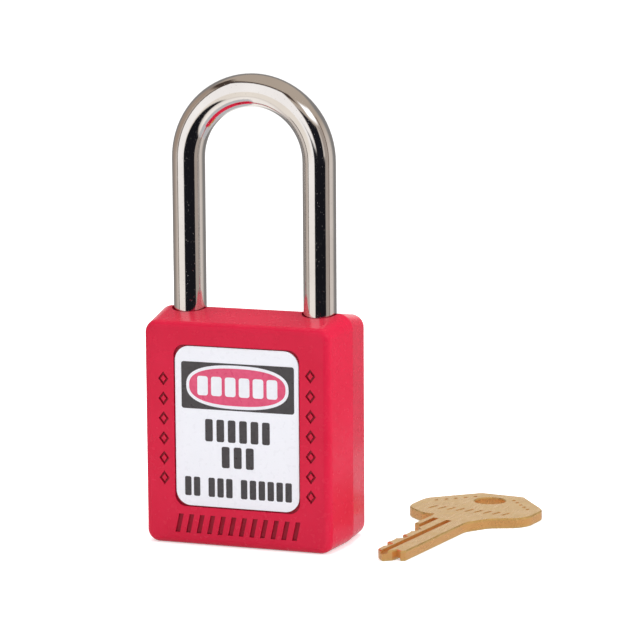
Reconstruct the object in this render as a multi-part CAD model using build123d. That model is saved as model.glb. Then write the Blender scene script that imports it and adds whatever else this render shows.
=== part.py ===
"""Keyed safety lockout padlock: red moulded body, chromed steel shackle and brass key.

Millimetres. The origin is the centre of the body's bottom face, with +Z up, +X to the right and the front
towards -Y. The shackle's long heel leg is at -X and its short toe leg at +X. The locking balls are drawn in,
as the key leaves them when it is turned, so the shackle is closed and free to lift.
"""

import os
from math import cos, pi, sin

from build123d import *

# Body
BODY_WIDTH = 39.5  # at the mid-plane, where it is widest
FACE_WIDTH = 37.4  # at the front and back faces
BODY_DEPTH = 20.0
RIDGE_HEIGHT = 44.4
FACE_HEIGHT = 42.75
MID_CORNER = 2.9
FACE_CORNER = 2.4
FACE_ROUND = 1.4
HALF_DEPTH = BODY_DEPTH / 2

# Shackle
LEG_DIAMETER = 6.35
LEG_SPACING = 26.5
CLEARANCE = 38.6  # from the roof's ridge to the inside of the crown
HEEL_X = -LEG_SPACING / 2
TOE_X = LEG_SPACING / 2
LEG_R = LEG_DIAMETER / 2
HEEL_END = 17.0
TOE_END = 34.0
LIFT = 10.6
LEG_BORE_R = LEG_R + 0.09
NECK_R = 1.75
MOUTH_WIDER = 0.25
MOUTH_DEPTH = 1.1

# Locking balls and cam
BALL_R = 2.38
BALL_Z = 38.0
BALL_BITE = 1.3  # how far a ball reaches into the shackle's notch
BALL_OUT_X = TOE_X - LEG_R - BALL_R + BALL_BITE
BALL_TRAVEL = 1.45
BALL_BORE_R = BALL_R + 0.06
NOTCH_R = BALL_R + 0.12
CAM_GAP = 0.12

# Lock cylinder
PLUG_R = 5.97
SHELL_BORE_R = 6.02
SHELL_R = 7.35
SHELL_BOTTOM = 2.6
SHELL_TOP = 31.5
PLUG_BOTTOM = 1.0
CLIP_Z = 29.7
PIN_R = 1.3
PIN_BORE_R = 1.38
PIN_BEVEL = 0.2
PIN_PITCH = 3.3
DRIVER_END = 9.0
FIRST_PIN_Z = 5.2
CUTS = (1.5, 2.35, 1.1, 2.35, 1.0, 1.7)  # height of each cut over the key's middle line, from bow to tip
TOWER_X = 13.9
TOWER_HALF_Y = 2.8
TOWER_LOW = 2.8
TOWER_TOP = 24.6
STRIP_LOW = 3.5
STRIP_TOP = 23.4
CLIP_NECK_R = 4.6
CLIP_R = 6.7
COLLAR_R = 6.3
TAIL_BOTTOM = 31.0
TAIL_TOP = 33.4
KEYWAY_TOP = 28.5

# Engraved marks of the front
MARK_PITCH = 3.83
MARK_DEPTH = 0.4
LEFT_MARKS = (-14.85, 31.9, 6)  # x, height of the top one, how many
RIGHT_MARKS = (14.9, 33.95, 7)
BAND_Z = 4.15
BAND_BARS = 12
BAND_PITCH = 2.16

# Bottom cover
COVER_WIDTH = 31.6
COVER_DEPTH = 15.0
COVER_THICK = 2.4
WINDOW_R = 6.5
FIT = 0.1  # gap between pieces that drop into a pocket
RIVET_X = 14.0
RIVET_Y = 5.7
RIVET_R = 0.94
RIVET_HOLE_R = 0.98
RIVET_END = 9.0
HEAD_R = 1.65
HEAD_LOW = 0.2  # the heads sit sunk in the cover
HEAD_TOP = 0.85

# Ball guide
GUIDE_HALF_X = 9.3
GUIDE_HALF_Y = 7.3
GUIDE_BOTTOM = 31.7
GUIDE_TOP = 41.4
LUG_TOP = 33.7

# Label
LABEL_WIDTH = 24.95
LABEL_HEIGHT = 30.7
LABEL_Z = 23.05
LABEL_CORNER = 2.9
LABEL_THICK = 0.3
RECESS_DEPTH = 0.5

# Key
KEY_THICK = 2.0
KEY_BACK = -3.9  # the blade's straight edge, from the key's middle line
KEY_NECK = 4.9  # the other edge, between the shoulder and the bow
KEY_SHOULDER = 23.2
KEY_BOW = 32.7  # where the bow starts
KEY_LENGTH = 54.4
KEY_HOLE_X = 48.2
KEY_HOLE_R = 3.1
KEY_EDGE = 0.2
GROOVE_DEPTH = 0.6
STAMP_DEPTH = 0.12
KEY_TIP = (29.3, -11.1)
KEY_TURN = 82.7  # degrees from +X


def save(part, name):
    """Writes one node, which is one solid or a group of separate solids."""
    part.label = name
    export_step(part, f"parts/{name}.step")


def cylinder(radius, low, high, x=0.0, y=0.0):
    """An upright cylinder from one height to another."""
    return Pos(x, y, low) * extrude(Circle(radius), high - low)


def block(x, y, z):
    """A box from its (low, high) extents."""
    size = Box(x[1] - x[0], y[1] - y[0], z[1] - z[0])
    return Pos((x[0] + x[1]) / 2, (y[0] + y[1]) / 2, (z[0] + z[1]) / 2) * size


def along_x(radius, low, high, z, y=0.0):
    """A cylinder along X from one place to another."""
    return Plane.YZ.offset(low) * Pos(y, z) * extrude(Circle(radius), high - low)


def pin_heights():
    return [FIRST_PIN_Z + i * PIN_PITCH for i in range(len(CUTS))]


def body_outline(width, height, corner):
    return Pos(0, height / 2) * RectangleRounded(width, height, corner)


def body_blank():
    """The moulded body before its holes: two drafted halves that meet in a ridge on the mid-plane."""
    mid = Plane.XZ * body_outline(BODY_WIDTH, RIDGE_HEIGHT, MID_CORNER)
    face = Plane.XZ.offset(HALF_DEPTH) * body_outline(FACE_WIDTH, FACE_HEIGHT, FACE_CORNER)
    front = loft([mid, face], ruled=True)
    front = fillet(front.faces().sort_by(Axis.Y)[0].edges(), FACE_ROUND)
    return front + mirror(front, about=Plane.XZ)


def lozenge(width, height):
    return Polygon((width / 2, 0), (0, height / 2), (-width / 2, 0), (0, -height / 2))


def slanted_bar(width, height, lean):
    """An upright bar whose top leans over by lean to each side of its middle."""
    half_w, half_h = width / 2, height / 2
    return Polygon(
        (-half_w - lean, -half_h), (half_w - lean, -half_h), (half_w + lean, half_h), (-half_w + lean, half_h)
    )


def front_marks():
    """Engraved marks of the front: a column each side of the label and a band of slanted bars below it."""
    marks = Sketch()
    for x, top, count in (LEFT_MARKS, RIGHT_MARKS):
        for i in range(count):
            marks += Pos(x, top - i * MARK_PITCH) * (lozenge(2.1, 2.7) - lozenge(1.05, 1.35))
    for i in range(BAND_BARS):
        x = (i - (BAND_BARS - 1) / 2) * BAND_PITCH
        marks += Pos(x, BAND_Z) * slanted_bar(0.95, 3.6, 0.4)
    return Plane.XZ.offset(HALF_DEPTH - MARK_DEPTH) * extrude(marks, 2 * MARK_DEPTH)


def label_recess(side):
    """The shallow pocket for a label, on the front for side -1 and on the back for side 1."""
    shape = Pos(0, LABEL_Z) * RectangleRounded(LABEL_WIDTH + 0.5, LABEL_HEIGHT + 0.5, LABEL_CORNER - 0.7)
    slab = Plane.XZ.offset(-HALF_DEPTH) * extrude(shape, RECESS_DEPTH)
    return slab if side > 0 else mirror(slab, about=Plane.XZ)


def rivet_places():
    return [(x, y) for x in (-RIVET_X, RIVET_X) for y in (-RIVET_Y, RIVET_Y)]


def housing():
    """One moulded piece, open below, that every inner part is loaded into from the bottom."""
    part = body_blank()
    roof = RIDGE_HEIGHT + 5
    part -= cylinder(LEG_BORE_R, COVER_THICK, roof, HEEL_X)
    part -= cylinder(LEG_BORE_R, TOE_END - 0.6, roof, TOE_X)
    for x in (HEEL_X, TOE_X):
        # The mouth of each leg's hole is a shallow round counterbore.
        part -= cylinder(LEG_BORE_R + MOUTH_WIDER, RIDGE_HEIGHT - MOUTH_DEPTH, roof, x)
    part -= extrude(RectangleRounded(COVER_WIDTH + 2 * FIT, COVER_DEPTH + 2 * FIT, 2.1), COVER_THICK)
    half_x = GUIDE_HALF_X + FIT
    half_y = GUIDE_HALF_Y + FIT
    well = block((-half_x, half_x), (-half_y, half_y), (COVER_THICK, GUIDE_TOP + FIT))
    part -= fillet(well.edges().filter_by(Axis.Z), 1.5)
    tower_y = TOWER_HALF_Y + FIT
    part -= block((0, TOWER_X + 2 * FIT), (-tower_y, tower_y), (COVER_THICK, TOWER_TOP + 2 * FIT))
    part -= block((HEEL_X + 1.7, -half_x), (-2.5, 2.5), (COVER_THICK, LUG_TOP + FIT))
    part -= along_x(BALL_BORE_R, HEEL_X, TOE_X, BALL_Z)
    for x, y in rivet_places():
        part -= cylinder(RIVET_HOLE_R, COVER_THICK, RIVET_END + 0.6, x, y)
    part -= label_recess(-1)
    part -= label_recess(1)
    part -= front_marks()
    return part


def bottom_cover():
    """The moulded plate that closes the body from below, with a round window for the plug's face."""
    part = extrude(RectangleRounded(COVER_WIDTH, COVER_DEPTH, 2.0), COVER_THICK)
    part -= cylinder(WINDOW_R, 0, COVER_THICK)
    for x, y in rivet_places():
        part -= cylinder(RIVET_HOLE_R, 0, COVER_THICK, x, y)
        part -= cylinder(HEAD_R + FIT, 0, HEAD_TOP + 0.05, x, y)
    return part


def cover_rivets():
    """Four drive rivets, which can't be undone, through the bottom cover."""
    rivets = []
    for x, y in rivet_places():
        head = cylinder(HEAD_R, HEAD_LOW, HEAD_TOP, x, y)
        shank = cylinder(RIVET_R, HEAD_TOP, RIVET_END, x, y)
        rivets.append(head + shank)
    return Compound(children=rivets)


def label(side):
    shape = Pos(0, LABEL_Z) * RectangleRounded(LABEL_WIDTH, LABEL_HEIGHT, LABEL_CORNER)
    slab = Plane.XZ.offset(-HALF_DEPTH + RECESS_DEPTH - LABEL_THICK) * extrude(shape, LABEL_THICK)
    return slab if side > 0 else mirror(slab, about=Plane.XZ)


def cylinder_shell():
    """The fixed shell of the lock cylinder, with its tower of six pin chambers towards +X."""
    part = cylinder(SHELL_R, SHELL_BOTTOM, SHELL_TOP)
    part += block((0, TOWER_X), (-TOWER_HALF_Y, TOWER_HALF_Y), (TOWER_LOW, TOWER_TOP))
    part -= cylinder(SHELL_BORE_R, SHELL_BOTTOM, SHELL_TOP)
    part -= cylinder(CLIP_R + 0.25, CLIP_Z - 0.1, SHELL_TOP)
    for z in pin_heights():
        part -= along_x(PIN_BORE_R, PLUG_R - 1, TOWER_X, z)
    part -= block((TOWER_X - 0.7, TOWER_X), (-2.0, 2.0), (STRIP_LOW, STRIP_TOP))
    return part


def chamber_cover():
    """The strip that is staked over the pin chambers and holds the springs in."""
    return block((TOWER_X - 0.65, TOWER_X - 0.05), (-1.95, 1.95), (STRIP_LOW + 0.05, STRIP_TOP - 0.05))


def plug():
    """The turning plug, with its keyway, six pin holes, clip neck and tail."""
    part = cylinder(PLUG_R, PLUG_BOTTOM, CLIP_Z - 0.15)
    part += cylinder(COLLAR_R, PLUG_BOTTOM, SHELL_BOTTOM - FIT)
    part += cylinder(CLIP_NECK_R, CLIP_Z - 0.2, TAIL_BOTTOM + 0.4)
    part += block((-3.0, 3.0), (-1.0, 1.0), (TAIL_BOTTOM, TAIL_TOP))
    keyway = block((-4.1, 3.2), (-1.1, 1.1), (0, KEYWAY_TOP))
    # Two wards run along the keyway, where the key's milled grooves are.
    keyway -= block((-0.75, 0.35), (0.55, 1.1), (0, KEYWAY_TOP))
    keyway -= block((-2.7, -1.9), (-1.1, -0.55), (0, KEYWAY_TOP))
    part -= keyway
    for z in pin_heights():
        part -= along_x(PIN_BORE_R, 0.6, PLUG_R + 1, z)
    return part


def key_pin(i):
    """A bottom pin, as long as its cut is deep: pointed where it rides on the key, bevelled outside."""
    inner = CUTS[i]
    outer = PLUG_R - 0.11 - PIN_BEVEL
    z = pin_heights()[i]
    body = along_x(PIN_R, inner + 0.8, outer, z)
    point = Plane.YZ.offset(inner) * Pos(0, z, 0.4) * Cone(0.5, PIN_R, 0.8)
    rim = Cone(PIN_R, PIN_R - PIN_BEVEL, PIN_BEVEL)
    return body + point + Plane.YZ.offset(outer) * Pos(0, z, PIN_BEVEL / 2) * rim


def driver_pin(i):
    return along_x(PIN_R, SHELL_BORE_R + 0.06, DRIVER_END, pin_heights()[i])


def coil(radius, wire_r, pitch, length):
    """A compression spring along +Z from the origin."""
    path = Helix(pitch, length, radius)
    section = Plane(origin=path @ 0, z_dir=path % 0) * Circle(wire_r)
    return sweep(section, path=path, is_frenet=True)


def pin_spring(i):
    return Pos(DRIVER_END + 0.2, 0, pin_heights()[i]) * Rot(0, 90, 0) * coil(1.05, 0.16, 0.75, 3.75)


def plug_clip():
    """The open ring that holds the plug in its shell."""
    ring = cylinder(CLIP_R, CLIP_Z, CLIP_Z + 1.0) - cylinder(CLIP_NECK_R + 0.06, CLIP_Z, CLIP_Z + 1.0)
    return ring - block((-1.3, 1.3), (-8, 0), (CLIP_Z - 1, CLIP_Z + 2))


def cam_outline():
    """Two lobes. The radius grows evenly over each quarter turn, so a ball moves evenly with the plug."""
    low = BALL_OUT_X - BALL_TRAVEL - BALL_R - CAM_GAP
    steps = 6
    edges = []
    for quarter in range(4):
        points = []
        for k in range(steps + 1):
            part_way = k / steps
            rise = part_way if quarter % 2 == 0 else 1 - part_way
            angle = (quarter + part_way) * pi / 2
            radius = low + BALL_TRAVEL * rise
            points.append((radius * cos(angle), radius * sin(angle)))
        edges.append(Spline(*points))
    return make_face(edges)


def cam():
    """Turns with the plug's tail and pushes the two balls apart."""
    part = Pos(0, 0, BALL_Z - 2.1) * extrude(cam_outline(), 4.2)
    part += cylinder(4.3, 31.6, BALL_Z - 2)
    part -= block((-3.06, 3.06), (-1.06, 1.06), (31.6, 33.6))
    return part


def ball(side):
    return Pos(side * (BALL_OUT_X - BALL_TRAVEL), 0, BALL_Z) * Sphere(BALL_R)


def ball_guide():
    """Die-cast block round the cam. Its cross bore guides the balls and its lug stops the lifted shackle."""
    part = block((-GUIDE_HALF_X, GUIDE_HALF_X), (-GUIDE_HALF_Y, GUIDE_HALF_Y), (GUIDE_BOTTOM, GUIDE_TOP))
    part = fillet(part.edges().filter_by(Axis.Z), 1.4)
    part += block((HEEL_X + 1.8, -GUIDE_HALF_X + 1), (-2.4, 2.4), (GUIDE_BOTTOM, LUG_TOP))
    part -= cylinder(6.6, GUIDE_BOTTOM, BALL_Z + 2.5)
    part -= along_x(BALL_BORE_R, -GUIDE_HALF_X - 1, GUIDE_HALF_X + 1, BALL_Z)
    part -= cylinder(NECK_R + 0.15, GUIDE_BOTTOM, LUG_TOP, HEEL_X)
    return part


def shackle():
    """One bent rod with a turned neck and ball groove in its heel leg and a ball pocket in its toe leg."""
    crown_z = RIDGE_HEIGHT + CLEARANCE - (LEG_SPACING / 2 - LEG_R)
    rise = Line((HEEL_X, 0, HEEL_END), (HEEL_X, 0, crown_z))
    crown = ThreePointArc((HEEL_X, 0, crown_z), (0, 0, crown_z + TOE_X), (TOE_X, 0, crown_z))
    fall = Line((TOE_X, 0, crown_z), (TOE_X, 0, TOE_END))
    path = Wire([rise, crown, fall])
    part = sweep(Plane.XY.offset(HEEL_END) * Pos(HEEL_X, 0) * Circle(LEG_R), path=path)
    part = Part() + part
    ends = part.faces().filter_by(GeomType.PLANE).filter_by(Axis.Z)
    part = chamfer(ends.edges(), 0.8)
    lug_bottom = GUIDE_BOTTOM - LIFT
    neck = cylinder(LEG_R + 1, lug_bottom - 0.05, LUG_TOP + 0.3, HEEL_X)
    neck -= cylinder(NECK_R, lug_bottom - 0.05, LUG_TOP + 0.3, HEEL_X)
    part -= neck
    part -= Pos(HEEL_X, 0, BALL_Z) * Torus(TOE_X - BALL_OUT_X, NOTCH_R)
    part -= Pos(BALL_OUT_X, 0, BALL_Z) * Sphere(NOTCH_R)
    return part


def spring_cup():
    """The follower between the heel leg and its spring: it lifts with the shackle and doesn't turn."""
    cup = cylinder(3.12, 14.4, HEEL_END - 0.05, HEEL_X)
    cup += cylinder(1.7, 12.6, 14.5, HEEL_X)
    return cup


def shackle_spring():
    """Pushes the shackle up when the balls let go. It stands on the bottom cover."""
    wire_r = 0.38
    low = COVER_THICK + wire_r + 0.05
    length = 14.4 - wire_r - 0.05 - low
    return Pos(HEEL_X, 0, low) * coil(2.45, wire_r, length / 8, length)


def bitting_points():
    """The cut edge, from the shoulder to the tip: a flat at each cut and a low peak between two cuts."""
    points = []
    first = KEY_SHOULDER - (FIRST_PIN_Z - PLUG_BOTTOM)
    for i, cut in enumerate(CUTS):
        x = first - i * PIN_PITCH
        points.append((x + 0.6, cut))
        points.append((x - 0.6, cut))
        if i + 1 < len(CUTS):
            points.append((x - PIN_PITCH / 2, max(cut, CUTS[i + 1]) + 0.2))
    return points


def key_outline():
    """Flat outline of the key, its tip at the origin and its bow along +X, cuts towards +Y."""
    tip = [(0.8, 0.9), (0.0, 0.0), (1.3, -1.5), (2.4, -1.9), (1.6, -3.1), (2.2, KEY_BACK)]
    shoulder = [(KEY_BOW, KEY_NECK), (KEY_SHOULDER + 0.9, KEY_NECK), (KEY_SHOULDER, 3.3), (21.0, 2.7)]
    # Corners of the bow and the radius that each is rounded to.
    rounded = [
        (28.6, KEY_BACK, 5.0), (33.4, -6.6, 4.0), (37.0, -12.9, 5.0), (45.3, -12.9, 4.4),
        (KEY_LENGTH, -4.7, 1.0),
        (KEY_LENGTH, 4.7, 1.0), (45.3, 12.9, 4.4), (37.0, 12.9, 5.0), (KEY_BOW, 7.4, 2.2),
    ]
    corners = [(x, y) for x, y, radius in rounded]
    outline = make_face(Polyline(*tip, *corners, *shoulder, *bitting_points(), close=True))
    for x, y, radius in rounded:
        corner = outline.vertices().sort_by_distance((x, y))[0]
        outline = fillet(corner, radius)
    return outline


def key_marks():
    """Stamped marks of the bow: a row of slanted bars and a few lozenges along each sloping side."""
    marks = Sketch()
    for i in range(9):
        marks += Pos(38.4, (i - 4) * 1.95) * Rot(0, 0, 90) * slanted_bar(0.55, 2.4, 0.3)
    for side in (-1, 1):
        for i in range(5):
            marks += Pos(44.2 + 1.55 * i, side * (9.9 - 1.42 * i)) * lozenge(1.2, 0.9)
    return marks


def key():
    """The brass key as it lies beside the lock, with two milled grooves on its upper face and one below."""
    part = extrude(key_outline(), KEY_THICK)
    part -= cylinder(KEY_HOLE_R, -1, KEY_THICK + 1, KEY_HOLE_X)
    flats = part.faces().filter_by(Axis.Z)
    part = chamfer(flats.edges(), KEY_EDGE)
    top = KEY_THICK
    # Each groove: the height of its middle line, its two ends and the face that it is milled in.
    for y, start, end, z in ((-0.2, -1.0, 28.8, top), (3.0, 21.5, 29.6, top), (-2.3, -1.0, 28.0, 0.0)):
        part -= block((start, end), (y - 0.65, y + 0.65), (z - GROOVE_DEPTH, z + GROOVE_DEPTH))
    for z in (0.0, KEY_THICK):
        part -= Pos(0, 0, z - STAMP_DEPTH) * extrude(key_marks(), 2 * STAMP_DEPTH)
    return Pos(*KEY_TIP) * Rot(0, 0, KEY_TURN) * part


os.makedirs("parts", exist_ok=True)
save(housing(), "housing")
save(bottom_cover(), "bottom_cover")
save(cover_rivets(), "cover_rivets")
save(label(-1), "front_label")
save(label(1), "back_label")
save(cylinder_shell(), "cylinder_shell")
save(chamber_cover(), "chamber_cover")
save(plug(), "plug")
save(plug_clip(), "plug_clip")
save(cam(), "cam")
save(ball(-1), "ball_left")
save(ball(1), "ball_right")
save(ball_guide(), "ball_guide")
save(shackle(), "shackle")
save(spring_cup(), "spring_cup")
save(shackle_spring(), "shackle_spring")
save(key(), "key")
for number in range(len(CUTS)):
    save(key_pin(number), f"key_pin_{number + 1}")
    save(driver_pin(number), f"driver_pin_{number + 1}")
    save(pin_spring(number), f"pin_spring_{number + 1}")
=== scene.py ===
"""Safety padlock in a white studio: materials, label print, light and camera."""

import math

import bmesh
import bpy
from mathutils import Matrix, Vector


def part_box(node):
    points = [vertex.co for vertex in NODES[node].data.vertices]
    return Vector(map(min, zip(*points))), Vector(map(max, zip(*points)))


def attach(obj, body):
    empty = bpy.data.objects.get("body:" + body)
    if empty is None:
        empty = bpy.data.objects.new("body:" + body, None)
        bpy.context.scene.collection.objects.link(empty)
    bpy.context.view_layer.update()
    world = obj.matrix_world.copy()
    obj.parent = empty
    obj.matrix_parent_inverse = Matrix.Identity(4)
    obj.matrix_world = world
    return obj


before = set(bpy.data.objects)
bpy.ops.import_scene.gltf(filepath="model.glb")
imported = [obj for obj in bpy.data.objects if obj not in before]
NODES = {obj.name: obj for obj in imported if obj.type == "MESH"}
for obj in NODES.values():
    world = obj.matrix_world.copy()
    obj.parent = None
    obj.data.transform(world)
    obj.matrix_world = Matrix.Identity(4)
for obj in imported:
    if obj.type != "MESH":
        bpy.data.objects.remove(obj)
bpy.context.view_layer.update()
MM = 0.001

# The camera sits at the front and a little to the right, slightly above the lock.
VIEW_AZIMUTH = math.radians(20.39)
VIEW_ELEVATION = math.radians(9.24)
VIEW_ROLL = math.radians(-0.36)
VIEW_DISTANCE = 0.6064
VIEW_LENS = 180.65
VIEW_TARGET = Vector((0.01321, 0.0, 0.04300))
SENSOR_WIDTH = 36.0

# One layer of ink on a label, and how far it is sunk into what it lies on.
INK_LAYER = 0.02 * MM
INK_SUNK = 0.001 * MM

# The corner radius of a printed block, as a share of its width.
BLOCK_ROUNDING = 0.22

# 2 makes the printed oval an ellipse and more makes it squarer.
OVAL_POWER = 2.5

# The part of a noise's range that most of it fills.
NOISE_MIDDLE = (0.3, 0.7)

# What the camera sees of the paper's own glow, so that the floor runs into the white backdrop.
PAPER_GLOW = 0.46

# The lights are aimed at the lock's middle.
LIGHT_TARGET = Vector((0.0, 0.0, 0.04))


# ---------------------------------------------------------------- node trees


class Nodes:
    """Short calls for making and linking the nodes of one tree."""

    def __init__(self, tree):
        self.tree = tree

    def node(self, kind, **settings):
        made = self.tree.nodes.new(kind)
        for key, value in settings.items():
            setattr(made, key, value)
        return made

    def link(self, source, target):
        self.tree.links.new(source, target)

    def feed(self, target, value):
        """Links a socket or sets a plain number or colour."""
        if isinstance(value, bpy.types.NodeSocket):
            self.link(value, target)
        else:
            target.default_value = value

    def math(self, operation, a, b=0.0):
        made = self.node("ShaderNodeMath", operation=operation)
        self.feed(made.inputs[0], a)
        self.feed(made.inputs[1], b)
        return made.outputs["Value"]

    def blend(self, share, a, b):
        """Colour a where share is 0 and colour b where it is 1."""
        made = self.node("ShaderNodeMix", data_type="RGBA")
        self.feed(made.inputs["Factor"], share)
        self.feed(made.inputs[6], a)
        self.feed(made.inputs[7], b)
        return made.outputs[2]


# ---------------------------------------------------------------- materials


class Shader(Nodes):
    """A node material round one Principled shader."""

    def __init__(self, name, **sockets):
        self.material = bpy.data.materials.new(name)
        self.material.use_nodes = True
        super().__init__(self.material.node_tree)
        self.bsdf = self.tree.nodes["Principled BSDF"]
        self.place = self.node("ShaderNodeTexCoord").outputs["Object"]
        for socket, value in sockets.items():
            self.bsdf.inputs[socket.replace("_", " ")].default_value = value

    def stretched(self, x=1.0, y=1.0, z=1.0):
        """The place, scaled along each axis, for grain that runs one way."""
        mapping = self.node("ShaderNodeMapping")
        mapping.inputs["Scale"].default_value = (x, y, z)
        self.link(self.place, mapping.inputs["Vector"])
        return mapping.outputs["Vector"]

    def noise(self, size_mm, detail=3.0, rough=0.5, place=None):
        """Noise from 0 to 1 whose blobs are about size_mm across."""
        made = self.node("ShaderNodeTexNoise")
        made.inputs["Scale"].default_value = 1.0 / (size_mm * MM)
        made.inputs["Detail"].default_value = detail
        made.inputs["Roughness"].default_value = rough
        self.link(place or self.place, made.inputs["Vector"])
        return made.outputs["Fac"]

    def specks(self, size_mm, reach):
        """1 inside sparse round specks and 0 between them."""
        cells = self.node("ShaderNodeTexVoronoi")
        cells.inputs["Scale"].default_value = 1.0 / (size_mm * MM)
        self.link(self.place, cells.inputs["Vector"])
        return self.span(cells.outputs["Distance"], reach, reach * 0.6, 0.0, 1.0)

    def span(self, value, low, high, to_low, to_high):
        """Maps low..high to to_low..to_high and clamps."""
        made = self.node("ShaderNodeMapRange")
        made.inputs["From Min"].default_value = low
        made.inputs["From Max"].default_value = high
        made.inputs["To Min"].default_value = to_low
        made.inputs["To Max"].default_value = to_high
        self.link(value, made.inputs["Value"])
        return made.outputs["Result"]

    def spread(self, noise, to_low=0, to_high=1):
        """Stretches the middle of a noise's range to to_low..to_high."""
        return self.span(noise, *NOISE_MIDDLE, to_low, to_high)

    def axes(self):
        """The place's x, y and z, in metres."""
        split = self.node("ShaderNodeSeparateXYZ")
        self.link(self.place, split.inputs["Vector"])
        return split.outputs

    def recess_shade_mask(self):
        """Where the red plastic gets painted shade: 1 on the floors of the marks and label
        recesses sunk in front and back, 0 elsewhere.
        """
        x, y, z = self.axes()
        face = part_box("housing")[1].y
        depth = self.math("SUBTRACT", face, self.math("ABSOLUTE", y))
        # What is ramped, where the ramp starts and ends in millimetres, and its two values.
        ramps = (
            (depth, 0.08, 0.34, 0, 1),  # below the face
            (depth, 0.6, 0.7, 1, 0),  # and not as deep as the inner walls
            (self.math("ABSOLUTE", x), 17.0, 17.2, 1, 0),  # clear of the rounded sides,
            (z, 1.7, 1.9, 0, 1),  # of the bottom edge
            (z, 40.6, 40.9, 1, 0),  # and of the roof
        )
        mask = 1.0
        for value, start, end, at_start, at_end in ramps:
            ramp = self.span(value, start * MM, end * MM, at_start, at_end)
            mask = self.math("MULTIPLY", mask, ramp)
        return mask

    def key_groove(self):
        """1 in the milled grooves and along the middle of the key's edges, 0 on its faces."""
        z = self.axes()[2]
        low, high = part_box("key")[0].z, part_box("key")[1].z
        off_middle = self.math("ABSOLUTE", self.math("SUBTRACT", z, (low + high) / 2))
        floor_off, rim_off = 0.5 * MM, 0.8 * MM
        return self.span(off_middle, floor_off, rim_off, 1, 0)

    def colour(self, value):
        self.link(value, self.bsdf.inputs["Base Color"])

    def roughness(self, value):
        self.link(value, self.bsdf.inputs["Roughness"])

    def bump(self, *layers):
        """Relief from (height socket, depth in mm) layers, one over the other."""
        normal = None
        for height, depth_mm in layers:
            made = self.node("ShaderNodeBump")
            made.inputs["Strength"].default_value = 1.0
            made.inputs["Distance"].default_value = depth_mm * MM
            self.link(height, made.inputs["Height"])
            if normal:
                self.link(normal, made.inputs["Normal"])
            normal = made.outputs["Normal"]
        self.link(normal, self.bsdf.inputs["Normal"])


def rgb(r, g, b):
    return (r, g, b, 1.0)


def red_plastic():
    """Satin moulded plastic: flow blotches, fine grain, pale specks, and painted shade darkening
    the engraved floors and label recesses.
    """
    s = Shader("red_plastic", Specular_IOR_Level=0.22, IOR=1.5)
    blotch = s.noise(9.0, detail=4.0)
    base = s.blend(s.spread(blotch), rgb(0.660, 0.0095, 0.046), rgb(0.700, 0.0125, 0.054))
    pale = s.math("MULTIPLY", s.specks(2.2, 0.07), 0.18)
    base = s.blend(pale, base, rgb(0.80, 0.09, 0.15))
    # Painted shade: the floors of the engraved marks and the rim of the label recesses are blended
    # towards dark red, in place of the shade that falls in them.
    s.colour(s.blend(s.math("MULTIPLY", s.recess_shade_mask(), 0.8), base, rgb(0.26, 0.008, 0.022)))
    s.roughness(s.span(s.noise(1.3, detail=4.0), 0.25, 0.75, 0.20, 0.30))
    s.bump((s.noise(0.35, detail=2.0), 0.0014), (s.noise(6.0), 0.015))
    return s.material


def label_film():
    """White printed film with a slightly cool cast and a soft gloss."""
    s = Shader("label_film", Specular_IOR_Level=0.4)
    s.colour(s.blend(s.noise(4.0), rgb(0.905, 0.915, 0.958), rgb(0.918, 0.927, 0.967)))
    s.roughness(s.spread(s.noise(0.9), 0.26, 0.32))
    s.bump((s.noise(2.4, detail=1.0), 0.002))
    return s.material


def ink(name, dark, light):
    """Printed ink: flat colour with the faint mottle of a screen print."""
    s = Shader(name, Specular_IOR_Level=0.4)
    s.colour(s.blend(s.spread(s.noise(0.8, detail=3.0)), dark, light))
    s.roughness(s.spread(s.noise(1.2), 0.26, 0.36))
    s.bump((s.noise(0.25), 0.002))
    return s.material


def chromed_steel():
    """Polished plate with faint lengthwise hairlines, tiny pits and a few smudges."""
    s = Shader("chromed_steel", Metallic=1.0)
    smudge = s.noise(7.0, detail=5.0)
    s.colour(s.blend(s.spread(smudge), rgb(0.76, 0.74, 0.725), rgb(0.82, 0.805, 0.79)))
    hair = s.noise(0.45, detail=3.0, place=s.stretched(z=0.06))
    s.roughness(s.span(s.math("ADD", smudge, hair), 0.7, 1.3, 0.045, 0.095))
    pits = s.specks(0.55, 0.12)
    s.bump((hair, 0.0008), (s.noise(1.1), 0.0030), (pits, -0.009))
    return s.material


def key_brass():
    """Pale satin brass with tarnish blotches, handling scratches and coppery grooves."""
    s = Shader("key_brass", Metallic=0.75, Specular_IOR_Level=0.4)
    blotch = s.noise(3.4, detail=6.0, rough=0.6)
    base = s.blend(s.spread(blotch), rgb(0.68, 0.405, 0.125), rgb(0.82, 0.54, 0.195))
    worn = s.span(s.noise(0.7, detail=4.0), 0.55, 0.8, 0, 0.5)
    base = s.blend(worn, base, rgb(0.92, 0.68, 0.33))
    grooved = s.math("MULTIPLY", s.key_groove(), 0.75)
    s.colour(s.blend(grooved, base, rgb(0.84, 0.42, 0.15)))
    scratch = s.noise(0.4, detail=4.0, place=s.stretched(x=1.0, y=0.12))
    s.roughness(s.span(s.math("ADD", blotch, scratch), 0.7, 1.3, 0.22, 0.38))
    dents, waves = s.noise(1.4, detail=2.0), s.noise(6.0, detail=1.0)
    s.bump((scratch, 0.0015), (dents, 0.006), (waves, 0.06))
    return s.material


def turned_brass():
    """Machined brass with fine tool rings across Z."""
    s = Shader("turned_brass", Metallic=1.0)
    rings = s.noise(0.5, place=s.stretched(0.05, 0.05, 3.0))
    s.colour(s.blend(s.noise(2.5), rgb(0.60, 0.40, 0.16), rgb(0.76, 0.55, 0.27)))
    s.roughness(s.spread(rings, 0.2, 0.36))
    s.bump((rings, 0.004))
    return s.material


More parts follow.
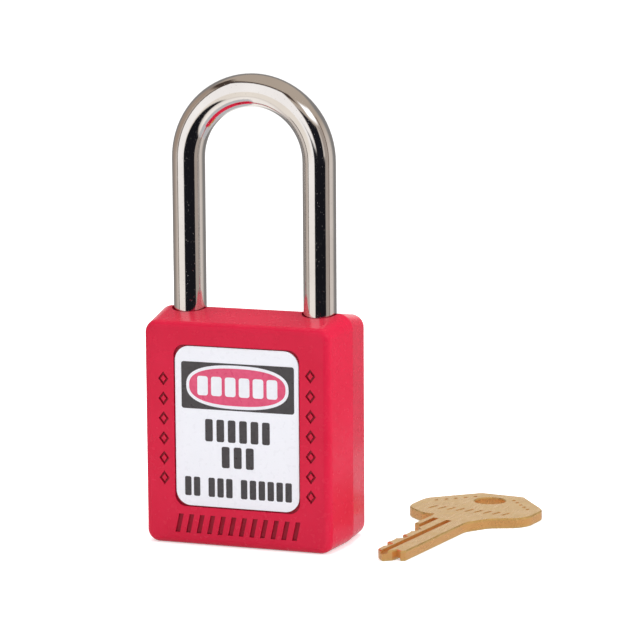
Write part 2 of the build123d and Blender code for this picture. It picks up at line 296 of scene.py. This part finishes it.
def die_cast():
    """Grey zinc casting with a grainy skin."""
    s = Shader("die_cast", Metallic=1.0)
    s.colour(s.blend(s.noise(1.6, detail=5.0), rgb(0.36, 0.37, 0.38), rgb(0.52, 0.53, 0.54)))
    s.roughness(s.spread(s.noise(0.6), 0.4, 0.6))
    s.bump((s.noise(0.4, detail=4.0), 0.02))
    return s.material


def bright_steel():
    """Small steel pieces with fine drawn grain."""
    s = Shader("bright_steel", Metallic=1.0)
    grain = s.noise(0.4, place=s.stretched(1.0, 1.0, 0.2))
    s.colour(s.blend(s.noise(2.0), rgb(0.50, 0.51, 0.53), rgb(0.66, 0.66, 0.68)))
    s.roughness(s.spread(grain, 0.2, 0.34))
    s.bump((grain, 0.003))
    return s.material


def floor_paper():
    """Matt white studio paper, overexposed for the camera alone."""
    s = Shader("floor_paper", Roughness=0.9, Specular_IOR_Level=0.1)
    s.bsdf.inputs["Emission Color"].default_value = rgb(1, 1, 1)
    seen = s.node("ShaderNodeLightPath").outputs["Is Camera Ray"]
    s.link(s.math("MULTIPLY", seen, PAPER_GLOW), s.bsdf.inputs["Emission Strength"])
    s.colour(s.blend(s.noise(90.0), rgb(0.93, 0.93, 0.93), rgb(0.95, 0.95, 0.95)))
    return s.material


def dress(name, material):
    """Gives a CAD node its finished material."""
    mesh = NODES[name].data
    mesh.materials.clear()
    mesh.materials.append(material)


def dress_nodes():
    """Dresses every CAD node. Of those not listed, pins are brass and the rest is steel."""
    red = red_plastic()
    film = label_film()
    brass = turned_brass()
    cast = die_cast()
    steel = bright_steel()
    looks = {
        "housing": red,
        "bottom_cover": red,
        "front_label": film,
        "back_label": film,
        "shackle": chromed_steel(),
        "key": key_brass(),
        "plug": brass,
        "chamber_cover": brass,
        "cylinder_shell": cast,
        "ball_guide": cast,
        "cam": cast,
    }
    for name in NODES:
        by_kind = brass if "_pin_" in name else steel
        dress(name, looks.get(name, by_kind))


def mesh_object(name, bm, material):
    """Puts a finished bmesh into the scene as an object of one material."""
    mesh = bpy.data.meshes.new(name)
    bm.to_mesh(mesh)
    bm.free()
    mesh.materials.append(material)
    made = bpy.data.objects.new(name, mesh)
    bpy.context.scene.collection.objects.link(made)
    return made


# ---------------------------------------------------------------- label print


def rounded_outline(cx, cz, width, height, radius, steps=8):
    """Corner points, anticlockwise seen from the front, of a rounded rectangle in millimetres."""
    points = []
    for quarter, (sx, sz) in enumerate(((1, -1), (1, 1), (-1, 1), (-1, -1))):
        for k in range(steps + 1):
            angle = math.radians(90 * (quarter - 1) + 90 * k / steps)
            x = cx + sx * (width / 2 - radius) + radius * math.cos(angle)
            z = cz + sz * (height / 2 - radius) + radius * math.sin(angle)
            points.append((x, z))
    return points


def oval_outline(cx, cz, width, height, steps=72):
    """A full oval, a little squarer than an ellipse."""
    points = []
    power = 2 / OVAL_POWER
    for k in range(steps):
        angle = 2 * math.pi * k / steps
        c, s = math.cos(angle), math.sin(angle)
        x = cx + width / 2 * math.copysign(abs(c) ** power, c)
        z = cz + height / 2 * math.copysign(abs(s) ** power, s)
        points.append((x, z))
    return points


def add_slab(bm, outline, inner_y, outer_y):
    """A thin closed plate of that outline between two y places, in metres."""
    inner = [bm.verts.new((x * MM, inner_y, z * MM)) for x, z in outline]
    outer = [bm.verts.new((x * MM, outer_y, z * MM)) for x, z in outline]
    bm.faces.new(outer)
    bm.faces.new(reversed(inner))
    for i in range(len(outline)):
        j = (i + 1) % len(outline)
        bm.faces.new((inner[i], inner[j], outer[j], outer[i]))


def print_piece(name, outlines, level, material, back=False):
    """A layer of ink on the front or back label. level counts the layers under it."""
    face_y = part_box("back_label")[1].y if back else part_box("front_label")[0].y
    outward = 1 if back else -1
    inner_y = face_y + outward * (level * INK_LAYER - INK_SUNK)
    outer_y = face_y + outward * (level + 1) * INK_LAYER
    bm = bmesh.new()
    for outline in outlines:
        add_slab(bm, outline, inner_y, outer_y)
    bmesh.ops.recalc_face_normals(bm, faces=bm.faces)
    piece = mesh_object(name, bm, material)
    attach(piece, "lock_body")


def block_row(cx, cz, height, counts, width, gap, space):
    """Blocks in place of a line of words: counts gives the blocks in each word."""
    gaps = sum(counts) - len(counts)
    total = sum(counts) * width + gaps * gap + (len(counts) - 1) * space
    x = cx - total / 2
    outlines = []
    for count in counts:
        for _ in range(count):
            radius = width * BLOCK_ROUNDING
            outlines.append(rounded_outline(x + width / 2, cz, width, height, radius, 3))
            x += width + gap
        x += space - gap
    return outlines


def print_front(dark, white, pink):
    """A heading panel with an oval, and three lines of blocks under it."""
    panel_z = 30.96
    print_piece("print_panel", [rounded_outline(0.2, panel_z, 22.8, 9.0, 0.5)], 0, dark)
    print_piece("print_ring", [oval_outline(0.16, panel_z, 20.7, 8.35)], 1, white)
    print_piece("print_oval", [oval_outline(0.16, panel_z, 19.5, 7.15)], 2, pink)
    heading = block_row(0.17, panel_z, 3.7, (6,), 2.15, 0.66, 0)
    print_piece("print_oval_blocks", heading, 3, white)
    rows = block_row(0.1, 22.45, 4.3, (6,), 1.55, 0.76, 0)
    rows += block_row(0.12, 17.4, 4.1, (3,), 1.6, 0.85, 0)
    rows += block_row(0.15, 11.45, 3.7, (2, 3, 6), 1.3, 0.5, 1.7)
    print_piece("print_blocks", rows, 0, dark)


def print_back(dark, white):
    """A heading panel, a line of blocks and three ruled lines to write on."""
    panel_z = 35.3
    panel = rounded_outline(0, panel_z, 22.4, 4.6, 0.5)
    print_piece("back_panel", [panel], 0, dark, back=True)
    heading = block_row(0, panel_z, 2.4, (6,), 1.5, 0.6, 0)
    print_piece("back_panel_blocks", heading, 1, white, back=True)
    rows = block_row(0, 30.6, 1.7, (4, 2, 7), 0.9, 0.35, 1.2)
    for line_z in (25.6, 19.6, 13.6):
        rows += block_row(8.4, line_z + 1.3, 1.5, (4,), 0.8, 0.3, 0)
        rows.append(rounded_outline(0, line_z, 21.5, 0.28, 0.1, 2))
    print_piece("back_lines", rows, 0, dark, back=True)


def print_labels():
    """The print of both labels, in three inks."""
    dark = ink("ink_dark", rgb(0.052, 0.047, 0.050), rgb(0.066, 0.060, 0.064))
    white = ink("ink_white", rgb(0.87, 0.88, 0.92), rgb(0.90, 0.91, 0.95))
    pink = ink("ink_pink", rgb(0.72, 0.075, 0.17), rgb(0.79, 0.10, 0.21))
    print_front(dark, white, pink)
    print_back(dark, white)


# ---------------------------------------------------------------- studio


def paper_sheet(name, low, high, material):
    """A flat sheet on the floor from the low corner to the high one, in metres."""
    bm = bmesh.new()
    corners = ((low[0], low[1]), (high[0], low[1]), (high[0], high[1]), (low[0], high[1]))
    bm.faces.new([bm.verts.new((x, y, 0.0)) for x, y in corners])
    sheet = mesh_object(name, bm, material)
    return sheet


def floor():
    """White paper. Polished metal mirrors only the small sheet of it near the lock's foot."""
    paper = floor_paper()
    wide = paper_sheet("studio_floor", (-3.0, -3.0), (3.0, 3.0), paper)
    wide.visible_glossy = False
    near = paper_sheet("mirrored_floor", (-0.04, -0.05), (0.09, 0.09), paper)
    near.location.z = -0.01 * MM
    near.visible_camera = False
    near.visible_diffuse = False
    near.visible_shadow = False


def soft_box(name, place, width, height, power):
    """A rectangular light of that many watts, which polished metal doesn't mirror."""
    data = bpy.data.lights.new(name, "AREA")
    data.shape = "RECTANGLE"
    data.size = width
    data.size_y = height
    data.energy = power
    light = bpy.data.objects.new(name, data)
    light.location = place
    light.rotation_mode = "QUATERNION"
    light.rotation_quaternion = (LIGHT_TARGET - Vector(place)).to_track_quat("-Z", "Y")
    light.visible_glossy = False
    bpy.context.scene.collection.objects.link(light)


class Surround(Nodes):
    """The world's nodes, with masks by direction.

    Directions are in degrees: azimuth, 0 towards the camera and more to its right, and elevation.
    """

    def __init__(self):
        world = bpy.data.worlds.new("studio")
        bpy.context.scene.world = world
        world.use_nodes = True
        world.cycles.sampling_method = "NONE"
        super().__init__(world.node_tree)
        self.tree.nodes.clear()
        direction = self.node("ShaderNodeTexCoord").outputs["Generated"]
        ahead = (math.sin(VIEW_AZIMUTH), -math.cos(VIEW_AZIMUTH), 0.0)
        right = (math.cos(VIEW_AZIMUTH), math.sin(VIEW_AZIMUTH), 0.0)
        self.azimuth = self.math("ARCTAN2", self.dot(direction, right), self.dot(direction, ahead))
        self.elevation = self.math("ARCSINE", self.dot(direction, (0.0, 0.0, 1.0)))

    def dot(self, vector, axis):
        made = self.node("ShaderNodeVectorMath", operation="DOT_PRODUCT")
        self.link(vector, made.inputs[0])
        made.inputs[1].default_value = axis
        return made.outputs["Value"]

    def over(self, angle, at, soft):
        """0 where the angle is below at and 1 above it, with a soft edge, all in degrees."""
        made = self.node("ShaderNodeMapRange", interpolation_type="SMOOTHSTEP")
        made.inputs["From Min"].default_value = math.radians(at - soft / 2)
        made.inputs["From Max"].default_value = math.radians(at + soft / 2)
        self.link(angle, made.inputs["Value"])
        return made.outputs["Result"]

    def patch(self, azimuths, elevations, soft):
        """1 inside a rectangle of directions."""
        sides = []
        for angle, (low, high) in ((self.azimuth, azimuths), (self.elevation, elevations)):
            past_low, past_high = self.over(angle, low, soft), self.over(angle, high, soft)
            sides.append(self.math("SUBTRACT", past_low, past_high))
        return self.math("MULTIPLY", sides[0], sides[1])

    def behind(self, azimuth, azimuth_soft, top, top_soft):
        """1 further round than that azimuth on either side, and lower than top."""
        round_back = self.over(self.math("ABSOLUTE", self.azimuth), azimuth, azimuth_soft)
        lower = self.math("SUBTRACT", 1.0, self.over(self.elevation, top, top_soft))
        return self.math("MULTIPLY", round_back, lower)

    def background(self, colour, strength):
        made = self.node("ShaderNodeBackground")
        self.feed(made.inputs["Color"], colour)
        made.inputs["Strength"].default_value = strength
        return made.outputs["Background"]

    def choose(self, share, a, b):
        """Shader a where share is 0 and shader b where it is 1."""
        made = self.node("ShaderNodeMixShader")
        self.link(share, made.inputs["Fac"])
        self.link(a, made.inputs[1])
        self.link(b, made.inputs[2])
        return made.outputs["Shader"]


def mirrored_room(w):
    """What polished metal mirrors: a wall, then layers by direction, each over the one before."""
    downward = w.math("MULTIPLY", w.elevation, -1.0)
    layers = (
        # side walls and what stands behind the lock
        (rgb(0.26, 0.25, 0.245), w.behind(108, 26, 42, 14)),
        (rgb(1.0, 0.98, 0.96), w.behind(164, 10, 17, 8)),
        (rgb(0.40, 0.31, 0.25), w.patch((-132, -88), (-8, 42), 26)),
        (rgb(0.42, 0.36, 0.32), w.patch((43, 66), (-60, 30), 8)),
        (rgb(0.16, 0.11, 0.08), w.patch((66, 72), (-60, 40), 3)),
        # the pale table and the dark rim under the ceiling
        (rgb(1.05, 1.0, 0.95), w.over(downward, 40, 16)),
        (rgb(0.07, 0.05, 0.04), w.patch((-125, 4), (40, 56), 7)),
        # two cards left of the camera, and the gap beside them
        (rgb(0.95, 0.88, 0.80), w.patch((-84, -30), (-36, -2), 6)),
        (rgb(1.08, 1.05, 1.04), w.patch((-77, -12), (-8, 48), 5)),
        (rgb(0.05, 0.04, 0.035), w.patch((-84, -79), (-30, 44), 3)),
        # the dark room behind the camera and the box light at its upper right
        (rgb(0.010, 0.010, 0.013), w.patch((-33, 43), (-36, -1), 5)),
        (rgb(0.012, 0.012, 0.016), w.patch((-10, 34), (-5, 27), 6)),
        (rgb(1.7, 1.72, 1.75), w.patch((17, 57), (33, 49), 10)),
    )
    upward = w.over(w.elevation, 22, 36)
    room = w.blend(upward, rgb(0.72, 0.65, 0.60), rgb(0.50, 0.42, 0.35))
    for colour, mask in layers:
        room = w.blend(mask, room, colour)
    return room


def surround():
    """White for the camera, the room for mirrored light and an even glow for all other light."""
    w = Surround()
    backdrop = w.background(rgb(1, 1, 1), 1.0)
    mirrored = w.background(mirrored_room(w), 1.0)
    even = w.background(rgb(0.97, 0.97, 1.0), 0.67)
    path = w.node("ShaderNodeLightPath").outputs
    light = w.choose(path["Is Glossy Ray"], even, mirrored)
    out = w.node("ShaderNodeOutputWorld")
    w.link(w.choose(path["Is Camera Ray"], light, backdrop), out.inputs["Surface"])


def lights():
    """Soft lights from the front left, from the right and from above."""
    soft_box("key_light", (-0.45, -0.55, 0.75), 0.5, 0.5, 0.8)
    soft_box("side_light", (0.75, -0.10, 0.35), 0.4, 0.6, 2.5)
    soft_box("top_light", (0.0, 0.1, 0.5), 0.4, 0.3, 1.6)


def camera():
    """A long lens that looks at VIEW_TARGET, with a slight roll."""
    data = bpy.data.cameras.new("camera")
    data.lens = VIEW_LENS
    data.sensor_width = SENSOR_WIDTH
    data.clip_start = 0.01
    made = bpy.data.objects.new("camera", data)
    bpy.context.scene.collection.objects.link(made)
    back = Vector((
        math.sin(VIEW_AZIMUTH) * math.cos(VIEW_ELEVATION),
        -math.cos(VIEW_AZIMUTH) * math.cos(VIEW_ELEVATION),
        math.sin(VIEW_ELEVATION),
    ))
    made.location = VIEW_TARGET + back * VIEW_DISTANCE
    made.rotation_mode = "QUATERNION"
    made.rotation_quaternion = (-back).to_track_quat("-Z", "Y")
    made.rotation_mode = "XYZ"
    made.rotation_euler.rotate_axis("Z", VIEW_ROLL)
    bpy.context.scene.camera = made


dress_nodes()
print_labels()
floor()
surround()
lights()
camera()
bpy.context.scene.view_settings.view_transform = "Standard"
